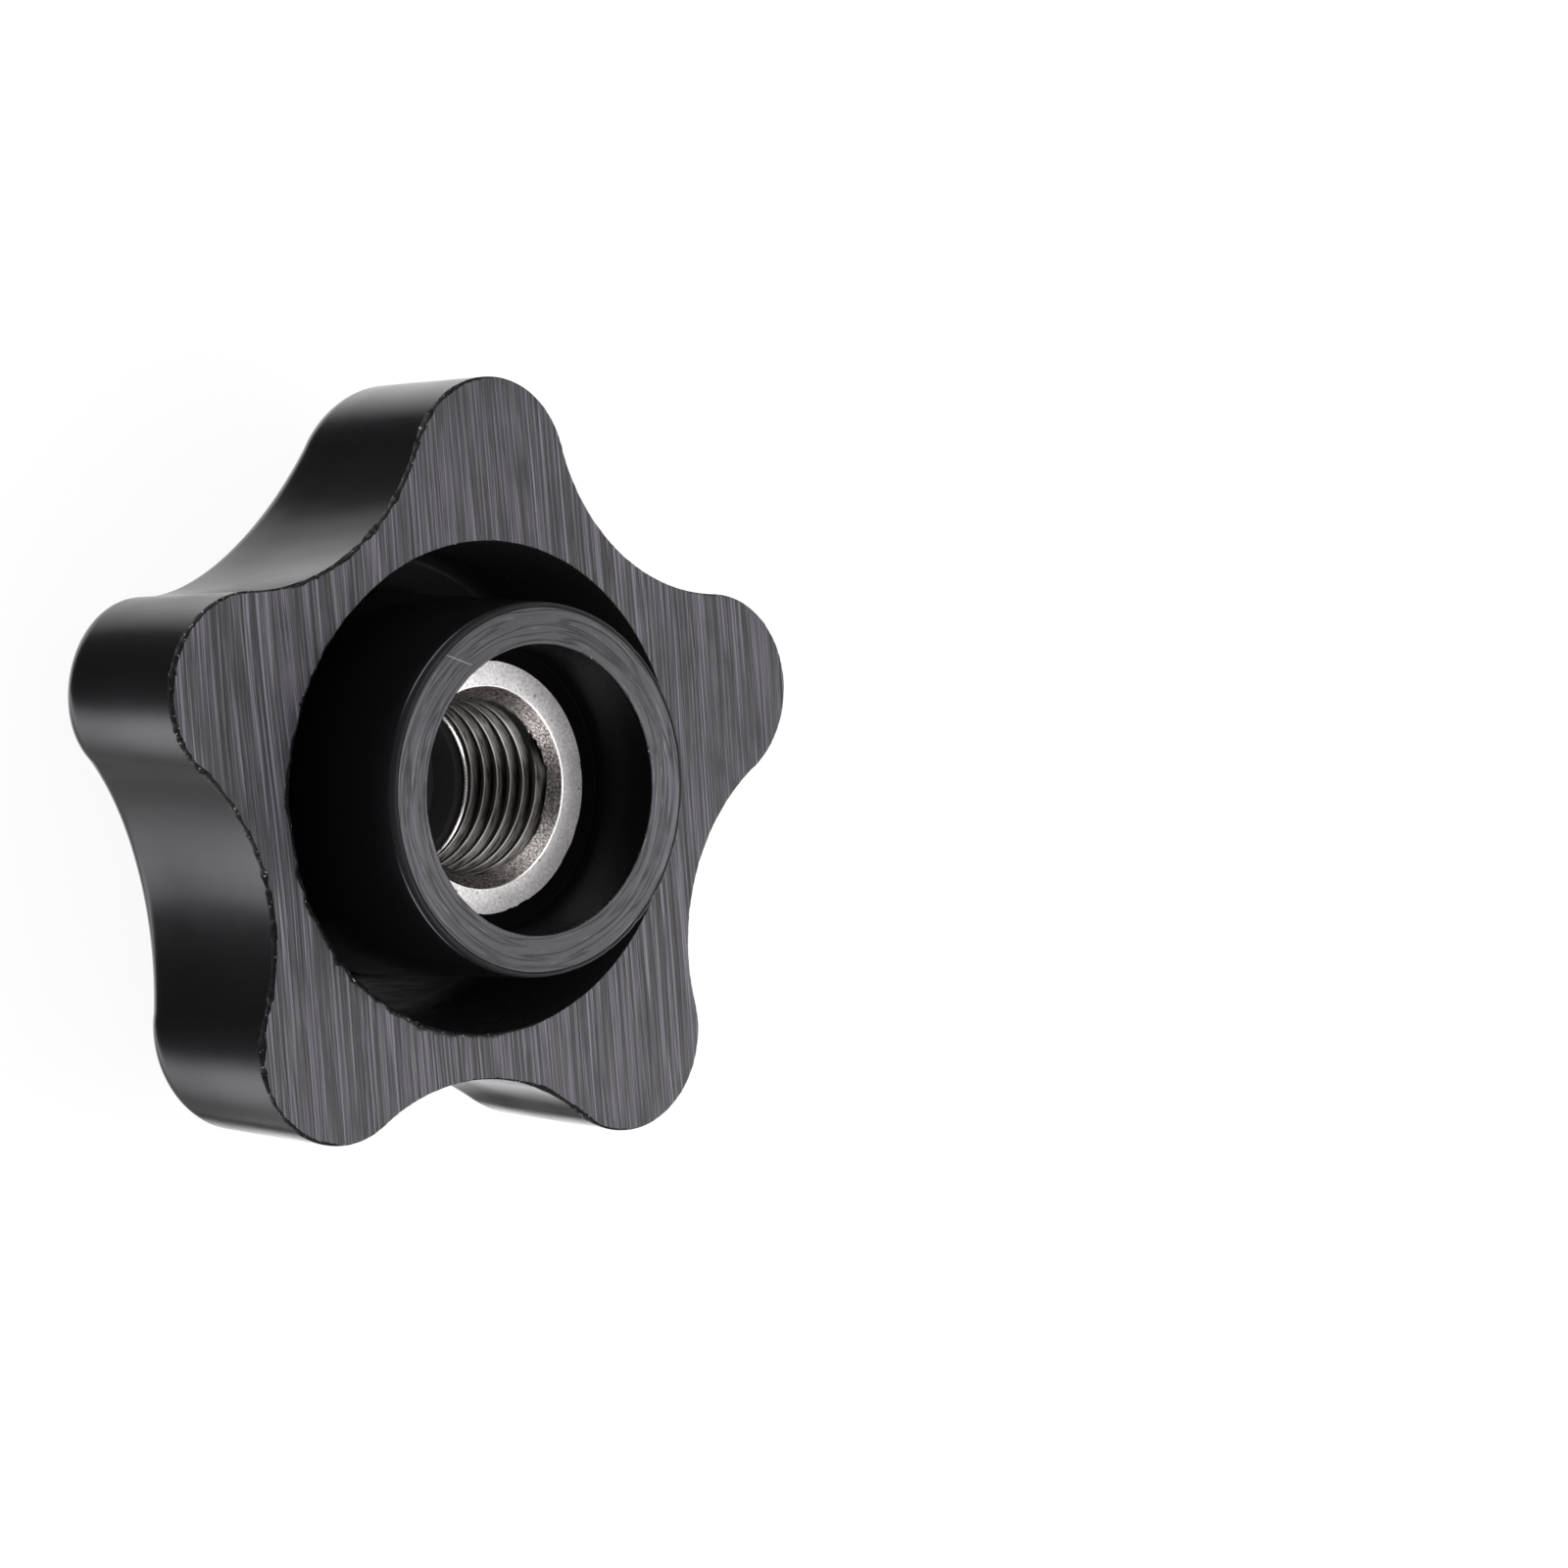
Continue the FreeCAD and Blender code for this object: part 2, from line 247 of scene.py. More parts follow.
class Rings:
    """Rings of points stacked into one skin; each ring closes round the axis."""

    def __init__(self, angle):
        self.round = np.stack([np.cos(angle), np.sin(angle)], axis=1)
        self.points = []
        self.material = []

    def add(self, xy, z, material):
        z = np.broadcast_to(z, (len(xy),))
        self.points.append(np.column_stack([xy, z]))
        self.material.append(material)

    def circle(self, radius, z, material):
        """Adds a ring round the axis. Its radius and height may change from point to point."""
        radius = np.broadcast_to(radius, (len(self.round),))
        self.add(self.round * radius[:, None], z, material)

    def skin(self):
        rows = len(self.points)
        columns = len(self.points[0])
        points = np.concatenate(self.points)
        quads = sheet_faces(rows, columns)
        material = np.repeat(np.asarray(self.material[1:], np.int32), columns)
        return points, quads, material


MOULDED, SANDED, TURNED, BROKEN, SUNK = range(5)


def body_rings(s, bush, seed):
    columns = 960
    random = np.random.default_rng(seed)
    outline, normal, along, total = star_outline(s, columns)
    angle = np.unwrap(np.arctan2(outline[:, 1], outline[:, 0]))
    lean = math.tan(s.draft)
    rings = Rings(angle)
    round_ring = rings.round

    def inset(depth):
        return outline - np.asarray(depth).reshape(-1, 1) * normal

    def chips(radius, count, width, depth):
        return broken_edge(angle * radius, TURN * radius, random, count, width, depth)

    def grit(size):
        return random.uniform(0.0, size * MM, columns)

    # Crown: flat, dome, then the rounded grip edge, found in the plane of each wall normal.
    def crown_at(depth):
        return crown_height(s, np.linalg.norm(inset(depth), axis=1))

    step = 0.002 * MM
    low = np.full(columns, 0.3 * MM)
    high = np.full(columns, 5.5 * MM)
    cos_draft, sin_draft = math.cos(s.draft), math.sin(s.draft)
    for _ in range(40):
        foot = (low + high) / 2
        level = crown_at(foot)
        slope = (crown_at(foot + step) - crown_at(foot - step)) / (2 * step)
        size = np.sqrt(1 + slope**2)
        centre_in = foot - s.grip_radius * slope / size
        centre_up = level + s.grip_radius / size
        from_wall = (centre_in - (s.star_level - centre_up) * lean) * cos_draft
        far = from_wall > s.grip_radius
        high = np.where(far, foot, high)
        low = np.where(far, low, foot)
    dome_arm = np.arctan2(-1 / size, slope / size)
    wall_arm = math.atan2(-sin_draft, -cos_draft)
    dome_arm = np.where(dome_arm > wall_arm, dome_arm, dome_arm + TURN)
    foot_xy = inset(foot)
    flat_xy = round_ring * s.crown_flat
    rings.circle(s.crown_flat * 0.02, 0.0, MOULDED)
    for part in (0.35, 0.7, 0.97):
        rings.circle(s.crown_flat * part, 0.0, MOULDED)
    for part in np.linspace(0, 1, 11)[:-1]:
        xy = flat_xy * (1 - part) + foot_xy * part
        rings.add(xy, crown_height(s, np.linalg.norm(xy, axis=1)), MOULDED)
    for part in np.linspace(0, 1, 10):
        arm = dome_arm * (1 - part) + wall_arm * part
        depth = centre_in + s.grip_radius * np.cos(arm)
        rings.add(inset(depth), centre_up + s.grip_radius * np.sin(arm), MOULDED)
    wall_foot = centre_up + s.grip_radius * math.sin(wall_arm)

    # Side wall up to the chipped edge of the star face. The belt left at -X, and tore that side more.
    face = s.star_level
    torn = np.clip(0.25 - 1.3 * normal[:, 0], 0, 1)
    bite = broken_edge(along, total, random, 700, (0.2, 0.9), (0.02, 0.12))
    large = broken_edge(along, total, random, 150, (0.4, 1.9), (0.06, 0.22))
    band = 0.03 * MM + 0.12 * MM * torn * (0.5 + ripple(angle, random, 7, 9, 60))
    bite = bite * (0.4 + 0.6 * torn) + large * torn
    fall = band + 0.9 * bite + grit(0.03)
    cut = band + 0.8 * bite + grit(0.03)
    wall_top = face - 0.6 * MM
    for part in (0.25, 0.5, 0.75, 1.0):
        level = wall_foot * (1 - part) + wall_top * part
        rings.add(inset((face - level) * lean), level, MOULDED)
    rings.add(inset(fall * lean), face - fall, MOULDED)
    hollow = random.uniform(0.25, 0.6, columns)
    rings.add(inset(fall * lean + cut * hollow), face - fall * (0.95 - hollow * 0.55), BROKEN)
    rings.add(inset(cut), face, BROKEN)
    rim_cut = chips(s.recess_radius, 260, (0.15, 0.9), (0.01, 0.09))
    rim_large = chips(s.recess_radius, 90, (0.3, 1.4), (0.06, 0.3))
    ragged = np.clip(-0.3 - 1.3 * round_ring[:, 0] - 0.8 * round_ring[:, 1], 0, 1)
    rim_cut = rim_cut * (0.5 + 0.5 * ragged) + rim_large * ragged
    rim_cut = rim_cut + 0.36 * MM * ragged * (0.35 + ripple(angle, random, 6, 8, 50))
    rim_cut = rim_cut + grit(0.02) + 0.03 * MM
    rim_fall = 0.02 * MM + 0.6 * rim_cut
    edge_xy = inset(cut)
    rim_xy = round_ring * (s.recess_radius + rim_cut)[:, None]
    for part in (0.03, 0.1, 0.25, 0.5, 0.75, 0.9, 1.0):
        rings.add(edge_xy * (1 - part) + rim_xy * part, face, SANDED)

    # Ring recess: leaning outer wall, floor with round corners, leaning collar wall.
    slant = math.tan(s.recess_draft)
    slant_cos = math.cos(s.recess_draft)
    floor = s.recess_level
    r = s.recess_round

    def outer_wall(level):
        return s.recess_radius - (face - level) * slant

    def collar_wall(level):
        return s.collar_radius + (s.collar_level - level) * slant

    middle = rim_fall * 0.45
    rings.circle(outer_wall(face - middle) + rim_cut * 0.35, face - middle, BROKEN)
    rings.circle(outer_wall(face - rim_fall), face - rim_fall, BROKEN)
    for part in (0.08, 0.5, 0.9):
        level = face - part * (face - floor - r)
        rings.circle(outer_wall(level), level, SUNK)
    outer_centre = outer_wall(floor + r) - r / slant_cos
    inner_centre = collar_wall(floor + r) + r / slant_cos
    for turn in np.linspace(s.recess_draft, math.pi / 2, 6):
        rings.circle(outer_centre + r * math.cos(turn), floor + r - r * math.sin(turn), SUNK)
    rings.circle((outer_centre + inner_centre) / 2, floor, SUNK)
    for turn in np.linspace(math.pi / 2, s.recess_draft, 6):
        rings.circle(inner_centre - r * math.cos(turn), floor + r - r * math.sin(turn), SUNK)
    top = s.collar_level
    worn = chips(s.collar_radius, 60, (0.2, 1.2), (0.01, 0.1))
    edge = 0.15 * MM + worn + grit(0.015)
    ledge = top - 0.55 * MM
    for part in (0.1, 0.5, 0.9, 0.985):
        level = floor + r + part * (ledge - 0.05 * MM - floor - r)
        rings.circle(collar_wall(level), level, MOULDED)
    # The lathe also took a hair off the collar just under its end, and left a small ledge.
    neck = 0.05 * MM
    rings.circle(collar_wall(ledge), ledge, MOULDED)
    rings.circle(s.collar_radius - neck, ledge + 0.06 * MM, MOULDED)
    for turn in np.linspace(0, math.pi / 2, 6):
        radius = s.collar_radius - neck - edge * (1 - math.cos(turn))
        rings.circle(radius, top - edge * (1 - math.sin(turn)), SUNK)
    bore_worn = chips(s.collar_bore, 70, (0.15, 0.8), (0.01, 0.09))
    bore_edge = 0.05 * MM + bore_worn + grit(0.012)
    ring_out = s.collar_radius - neck - edge
    ring_in = s.collar_bore + bore_edge
    for part in (0.05, 0.35, 0.65, 0.95, 1.0):
        rings.circle(ring_out * (1 - part) + ring_in * part, top, TURNED)
    for turn in (0.35, 0.75, 1.0):
        a = turn * math.pi / 2
        radius = s.collar_bore + bore_edge * (1 - math.sin(a))
        rings.circle(radius, top - bore_edge * (1 - math.cos(a)), BROKEN)

    # Hole of the collar, the thin flash over the bush, its seat, and the plain hole under it.
    seat = bush.face_level
    small = 0.05 * MM
    for part in (0.06, 0.5):
        rings.circle(s.collar_bore, top - part * (top - seat), SUNK)
    for turn in np.linspace(0, math.pi / 2, 5):
        radius = s.collar_bore - small * (1 - math.cos(turn))
        rings.circle(radius, seat + small * (1 - math.sin(turn)), SUNK)
    flash = 0.03 * MM + 0.06 * MM * ripple(angle, random, 4, 1, 7)
    flash = flash + chips(bush.radius, 16, (0.3, 1.6), (0.01, 0.09))
    rings.circle(bush.radius + 0.25 * MM, seat + 0.01 * MM, SUNK)
    rings.circle(bush.radius - flash * 0.5, seat + 0.045 * MM, SUNK)
    rings.circle(bush.radius - flash, seat + 0.012 * MM, SUNK)
    rings.circle(bush.radius - flash * 0.9, seat + 0.004 * MM, SUNK)
    rings.circle(bush.radius, seat + 0.002 * MM, SUNK)
    waist = hexagon(angle, bush.waist)
    core = bush.thread_radius - thread_depth(bush)
    foot = bush.foot_level
    for radius, level in (
        (bush.radius, seat - bush.flange),
        (waist, seat - bush.flange),
        (waist, foot + bush.flange),
        (bush.radius, foot + bush.flange),
        (bush.radius, foot),
        (bush.mouth_radius, foot),
        (core, foot - bush.mouth_depth),
        (core, bush.hole_floor + small),
        (core - small, bush.hole_floor),
        (core * 0.5, bush.hole_floor),
        (core * 0.02, bush.hole_floor),
    ):
        rings.circle(radius, level, SUNK)
    return rings


def close_ends(points, quads, material, columns, first_material, last_material):
    """Closes the first and last ring with fans of triangles to a point on the axis."""
    count = len(points)
    ends = np.array([points[:columns].mean(axis=0), points[-columns:].mean(axis=0)])
    points = np.vstack([points, ends])
    here = np.arange(columns)
    there = (here + 1) % columns
    low = np.stack([there, here, np.full(columns, count)], axis=1)
    last = count - columns
    high = np.stack([last + here, last + there, np.full(columns, count + 1)], axis=1)
    faces = quads.tolist() + low.tolist() + high.tolist()
    material = np.concatenate([material, np.full(columns, first_material), np.full(columns, last_material)])
    return points, faces, material


def make_knob_body(context):
    scene = context.scene
    s, bush, finish = scene.star_knob_body, scene.star_knob_bush, scene.star_knob_finish
    rings = body_rings(s, bush, finish.seed)
    points, quads, material = rings.skin()
    columns = len(rings.points[0])
    points, faces, material = close_ends(points, quads, material, columns, MOULDED, SUNK)
    materials = [
        moulded_black(finish),
        sanded_black(finish),
        turned_black(finish),
        broken_black(finish),
        sunk_black(finish),
    ]
    piece = make_piece("star_knob_body", points, faces, material, materials, math.radians(28))
    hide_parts("knob_body")
    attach(piece, "root")
    return piece


# The threaded bush


def thread_depth(bush):
    """Depth of the thread: five eighths of the height of its sharp triangle."""
    return bush.pitch * math.sqrt(3) / 2 * 5 / 8


def hexagon(angle, corner):
    """Radius of a hexagon with slightly rounded corners, at an angle."""
    apothem = corner * math.cos(math.pi / 6)
    fold = (angle + math.pi / 6) % (math.pi / 3) - math.pi / 6
    return np.minimum(apothem / np.cos(fold), corner * 0.985)


FACE_STEEL, CUT_STEEL, CONE_STEEL, EDGE_STEEL = range(4)
LAND = 0.32 * MM
RUN_IN = math.radians(38)


def thread_profile(bush, points):
    """Heights over one pitch and radii of the cut thread, from crest to crest, with eased corners."""
    depth = thread_depth(bush)
    core = bush.thread_radius - depth
    flank = depth * math.tan(math.radians(30))
    crest = bush.pitch / 4
    root = bush.pitch / 8
    rise = crest / 2 + flank
    corners_z = np.array([0, crest / 2, rise, rise + root, bush.pitch - crest / 2, bush.pitch])
    corners_r = np.array([core, core, bush.thread_radius, bush.thread_radius, core, core])
    z = np.linspace(0, bush.pitch, points, endpoint=False)
    ease = 0.025 * MM
    radius = np.zeros(points)
    for shift in np.linspace(-ease, ease, 7):
        radius += np.interp((z + shift) % bush.pitch, corners_z, corners_r) / 7
    return z, radius


def helix_faces(rows, columns, per_pitch):
    """The quads of rows that climb a pitch in a turn: a row's end meets the start of the row a pitch on."""
    here = np.arange(columns - 1)
    quads = []
    for j in range(rows - 1):
        low, high = j * columns, (j + 1) * columns
        quads.append(np.stack([low + here, low + here + 1, high + here + 1, high + here], axis=1))
    j = np.arange(rows - 1 - per_pitch)
    end = (j + 1) * columns - 1
    start = (j + per_pitch) * columns
    quads.append(np.stack([end, start, start + columns, end + columns], axis=1))
    return np.concatenate(quads)


def make_threaded_bush(context):
    scene = context.scene
    bush, finish = scene.star_knob_bush, scene.star_knob_finish
    columns = 420
    per_pitch = 16
    angle = np.arange(columns) * TURN / columns
    heights, radii = thread_profile(bush, per_pitch)
    face, foot = bush.face_level, bush.foot_level
    core = bush.thread_radius - thread_depth(bush)
    waist = hexagon(angle, bush.waist)
    edge = 0.06 * MM
    lip = 0.04 * MM
    rings = Rings(angle)

    # Outside, from the bright rim of the countersink over the face and round to the foot.
    rings.circle(bush.mouth_radius, face - lip, CONE_STEEL)
    rings.circle(bush.mouth_radius + 0.02 * MM, face - 0.75 * lip, EDGE_STEEL)
    rings.circle(bush.mouth_radius + 0.06 * MM, face - 0.12 * lip, EDGE_STEEL)
    rings.circle(bush.mouth_radius + 0.08 * MM, face, EDGE_STEEL)
    for radius, level in (
        ((bush.mouth_radius + bush.radius) / 2, face),
        (bush.radius - edge, face),
        (bush.radius, face - edge),
        (bush.radius, face - bush.flange),
        (waist, face - bush.flange),
        (waist, foot + bush.flange),
        (bush.radius, foot + bush.flange),
        (bush.radius, foot),
    ):
        rings.circle(radius, level, FACE_STEEL)

    # Foot with its own small countersink.
    foot_cone = 0.3 * MM
    rings.circle(core + foot_cone + 0.05 * MM, foot, FACE_STEEL)
    rings.circle(core + foot_cone, foot + lip, CONE_STEEL)
    points, quads, material = rings.skin()

    # Thread: each row climbs one pitch in a turn, and goes on a pitch higher where it meets its start.
    # The top groove starts at the seam, so that the countersink is whole beyond it.
    rise = bush.pitch * angle / TURN
    start = foot + bush.pitch / 2
    top_turn = int((face - start) / bush.pitch) - 1
    slope = (bush.mouth_radius - core) / bush.mouth_depth
    toe_slope = 1.2

    def mouth_at(level):
        return bush.mouth_radius - (face - lip - level) * slope

    def toe_at(level):
        return core + foot_cone - (level - foot - lip) * toe_slope

    first = -2 * per_pitch
    last = int((face - foot) / bush.pitch * per_pitch) + 2 * per_pitch
    thread = Rings(angle)
    for j in range(first, last + 1):
        turn, k = divmod(j, per_pitch)
        level = np.clip(foot + turn * bush.pitch + heights[k] + rise, foot + lip, face - lip)
        groove = (level - rise - start) / bush.pitch
        phase = (groove % 1.0) * bush.pitch
        radius = np.interp(phase, np.append(heights, bush.pitch), np.append(radii, radii[0]))
        cut = np.where(groove < top_turn, 1.0, np.clip(1 - angle / RUN_IN, 0, 1) * (groove < top_turn + 1))
        radius = core + (radius - core) * cut
        run_out = core + np.maximum(level - foot - LAND, 0.0) * 1.5
        radius = np.maximum(np.minimum(radius, run_out), np.maximum(mouth_at(level), toe_at(level)))
        thread.circle(radius, level, CUT_STEEL)
    burr = Rings(angle)
    bulge = ((-0.03, 0.40), (0.02, 0.36), (0.11, 0.315), (0.14, 0.27), (0.1, 0.23), (-0.03, 0.16))
    for inside, above in bulge:
        burr.circle(core - inside * MM, foot + above * MM, EDGE_STEEL)
    burr_points, burr_quads, burr_material = burr.skin()
    cut_points = np.concatenate(thread.points)
    cut_quads = helix_faces(last + 1 - first, columns, per_pitch)
    cut_z = cut_points[cut_quads][:, :, 2].mean(axis=1)
    cut_r = np.linalg.norm(cut_points[cut_quads][:, :, :2], axis=2).mean(axis=1)
    on_mouth = np.abs(cut_r - mouth_at(cut_z)) < 0.015 * MM
    on_mouth &= cut_z > face - bush.mouth_depth
    on_toe = np.abs(cut_r - toe_at(cut_z)) < 0.01 * MM
    cut_material = np.where(on_mouth | on_toe, CONE_STEEL, CUT_STEEL)
    cut_quads = cut_quads + len(points)
    burr_quads = burr_quads + len(points) + len(cut_points)
    quads = np.vstack([quads, cut_quads, burr_quads])
    points = np.vstack([points, cut_points, burr_points])
    material = np.concatenate([material, cut_material, burr_material])
    materials = [face_steel(finish), cut_steel(finish), cone_steel(finish), edge_steel(finish)]
    piece = make_piece("star_knob_bush", points, quads, material, materials, math.radians(38))
    drop_doubles(piece)
    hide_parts("threaded_bush")
    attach(piece, "root")
    return piece


def drop_doubles(piece):
    """Merges points that lie on each other, where the thread runs out at its two ends."""
    mesh = bmesh.new()
    mesh.from_mesh(piece.data)
    bmesh.ops.remove_doubles(mesh, verts=mesh.verts, dist=0.0002 * MM)
    bmesh.ops.dissolve_degenerate(mesh, edges=mesh.edges, dist=0.0002 * MM)
    bmesh.ops.recalc_face_normals(mesh, faces=mesh.faces)
    mesh.to_mesh(piece.data)
    mesh.free()


# Materials


def shade(tone, factor):
    """A colour made darker or lighter."""
    return tuple(factor * c for c in tone)


class Graph:
    """A short way to write a material's nodes."""

    def __init__(self, name="", tree=None):
        output = "ShaderNodeOutputWorld"
        if tree is None:
            self.material = bpy.data.materials.new(name)
            self.material.use_nodes = True
            tree = self.material.node_tree
            output = "ShaderNodeOutputMaterial"
        self.tree = tree
        self.tree.nodes.clear()
        self.output = self.tree.nodes.new(output)

    def put(self, socket, value):
        if isinstance(value, bpy.types.NodeSocket):
            self.tree.links.new(value, socket)
        else:
            socket.default_value = value

    def node(self, kind, inputs=None, **settings):
        node = self.tree.nodes.new("ShaderNode" + kind)
        for key, value in settings.items():
            setattr(node, key, value)
        for key, value in (inputs or {}).items():
            self.put(node.inputs[key], value)
        return node

    def place(self):
        return self.node("TexCoord").outputs["Object"]

    def stretch(self, vector, scale, turn=0.0):
        """Turns coordinates about the axis, then scales them."""
        if turn:
            inputs = {"Vector": vector, "Angle": math.radians(turn)}
            vector = self.node("VectorRotate", inputs, rotation_type="Z_AXIS").outputs[0]
        return self.node("VectorMath", {0: vector, 1: scale}, operation="MULTIPLY").outputs["Vector"]

    def noise(self, vector, scale, detail=3.0, rough=0.55):
        inputs = {"Vector": vector, "Scale": scale, "Detail": detail, "Roughness": rough}
        return self.node("TexNoise", inputs).outputs["Fac"]

    def ramp(self, value, stops):
        node = self.node("ValToRGB", {"Fac": value})
        elements = node.color_ramp.elements
        while len(elements) < len(stops):
            elements.new(0.5)
        for element, (position, light) in zip(elements, stops):
            element.position = position
            element.color = (light, light, light, 1)
        return node.outputs["Color"]

    def math(self, operation, a, b=0.0):
        node = self.node("Math", operation=operation)
        self.put(node.inputs[0], a)
        self.put(node.inputs[1], b)
        return node.outputs[0]

    def times(self, a, b):
        return self.math("MULTIPLY", a, b)

    def parts(self, vector):
        """X, Y and Z of a vector."""
        return self.node("SeparateXYZ", {"Vector": vector}).outputs

    def near(self, value, middle, full, none):
        """1 where a value is within full of the middle, fading to 0 where it is none away."""
        return self.span(self.math("ABSOLUTE", self.math("SUBTRACT", value, middle)), full, none, 1.0, 0.0)

    def span(self, value, low, high, out_low=0.0, out_high=1.0):
        inputs = {"Value": value, "From Min": low, "From Max": high, "To Min": out_low, "To Max": out_high}
        return self.node("MapRange", inputs, clamp=True).outputs["Result"]

    def blend(self, factor, a, b):
        node = self.node("Mix", data_type="RGBA")
        self.put(node.inputs["Factor"], factor)
        self.put(node.inputs[6], a if isinstance(a, bpy.types.NodeSocket) else (*a, 1))
        self.put(node.inputs[7], b if isinstance(b, bpy.types.NodeSocket) else (*b, 1))
        return node.outputs[2]

    def bump(self, height, strength, distance, normal=None):
        inputs = {"Height": height, "Strength": strength, "Distance": distance}
        if normal is not None:
            inputs["Normal"] = normal
        return self.node("Bump", inputs).outputs["Normal"]

    def flat(self, vector):
        """Coordinates without their height."""
        parts = self.parts(vector)
        return self.node("CombineXYZ", {"X": parts["X"], "Y": parts["Y"]}).outputs[0]

    def radius(self, vector):
        """Distance from the axis."""
        return self.node("VectorMath", {0: self.flat(vector)}, operation="LENGTH").outputs["Value"]

    def outward(self, vector):
        """X and Y of the direction out from the axis."""
        unit = self.node("VectorMath", {0: self.flat(vector)}, operation="NORMALIZE").outputs["Vector"]
        return self.parts(unit)

    def around(self, vector, radial, turning, lift=0.0):
        """Coordinates that run out from the axis, round it and along it, each with its own scale."""
        height = self.parts(vector)["Z"]
        way = self.outward(vector)
        out = self.math("ADD", self.times(self.radius(vector), radial), self.times(height, lift))
        return self.node(
            "CombineXYZ",
            {"X": out, "Y": self.times(way["X"], turning), "Z": self.times(way["Y"], turning)},
        ).outputs[0]

    def surface(self, **inputs):
        shader = self.node("BsdfPrincipled")
        for key, value in inputs.items():
            self.put(shader.inputs[key.replace("_", " ")], value)
        self.tree.links.new(shader.outputs[0], self.output.inputs["Surface"])
        return self.material


def moulded_black(finish):
    """Glossy moulded phenolic with faint flow waves, fine scuffs and specks of dust."""
    g = Graph("phenolic_moulded")
    at = g.place()
    waves = g.noise(g.stretch(at, (1, 1, 0.35)), 160, 2)
    scuffs = g.noise(g.stretch(at, (1, 1, 0.08)), 2600, 4, 0.6)
    clouds = g.noise(at, 260, 3)
    rough = g.span(g.math("ADD", g.times(clouds, 0.7), g.times(scuffs, 0.3)), 0.3, 0.75, 0.15, 0.26)
    dust = g.span(g.noise(at, 3800, 1), 0.79, 0.84)
    tone = g.blend(dust, tuple(finish.moulded), (0.05, 0.05, 0.052))
    normal = g.bump(waves, 0.4, 0.2 * MM)
    normal = g.bump(scuffs, 0.06, 0.01 * MM, normal)
    cool = (0.92, 0.90, 1.0, 1)
    return g.surface(Base_Color=tone, Roughness=rough, IOR=1.55, Specular_Tint=cool, Normal=normal)


def sanded_black(finish):
    """Belt-sanded face: crisp light and dark streaks, nearly straight, with thin dark grooves among them."""
    g = Graph("phenolic_sanded")
    at = g.place()
    sway = g.times(g.noise(g.stretch(at, (60, 30, 1)), 1.0, 1), 0.0016)
    shift = g.node("CombineXYZ", {"X": sway}).outputs[0]
    moved = g.node("VectorMath", {0: at, 1: shift}, operation="ADD").outputs["Vector"]
    lean = -6.5

    def lines(across, along, turn=0.0, detail=1, rough=0.5):
        return g.noise(g.stretch(moved, (across, along, 1), lean + turn), 1.0, detail, rough)

    broad = lines(5600, 45)
    fine = lines(9400, 100, -0.7, 2, 0.6)
    wide = lines(2000, 40, 0.5)
    deep = lines(4300, 40, -0.4)
    fade = g.noise(g.stretch(moved, (800, 300, 1), lean), 1.0, 2)
    scratches = g.noise(g.stretch(at, (7000, 110, 1), lean - 3), 1.0, 1, 0.5)
    cloud = g.noise(at, 170, 2)
    groove_a = g.near(wide, 0.5, 0.014, 0.06)
    groove_b = g.near(deep, 0.5, 0.015, 0.07)
    groove = g.math("MAXIMUM", groove_a, groove_b)
    groove = g.times(groove, g.span(fade, 0.3, 0.7, 0.5, 1.0))
    mix = g.math("ADD", g.times(broad, 0.65), g.times(fine, 0.35))
    streak = g.span(mix, 0.4, 0.6)
    tone = g.blend(streak, shade(finish.sanded, 0.08), shade(finish.sanded, 2.0))
    tone = g.blend(g.times(g.span(scratches, 0.64, 0.74), 0.6), tone, (0.26, 0.255, 0.27))
    tone = g.blend(g.times(groove, 0.9), tone, tuple(finish.sanded_dark))
    tone = g.blend(g.span(cloud, 0.35, 0.65, 0.0, 0.1), tone, (0.03, 0.03, 0.034))
    rough = g.span(fine, 0.3, 0.7, 0.42, 0.6)
    gloss = g.span(groove, 0.0, 1.0, 0.5, 0.32)
    height = g.math("SUBTRACT", g.times(mix, 0.5), groove)
    normal = g.bump(height, 0.8, 0.03 * MM)
    return g.surface(Base_Color=tone, Roughness=rough, IOR=1.5, Specular_IOR_Level=gloss, Normal=normal)


SCRATCH_TURN = 16.9
SCRATCH_OFF = 5.63 * MM
SCRATCH_MID = -8.43 * MM
RING_EDGE = 10.99 * MM


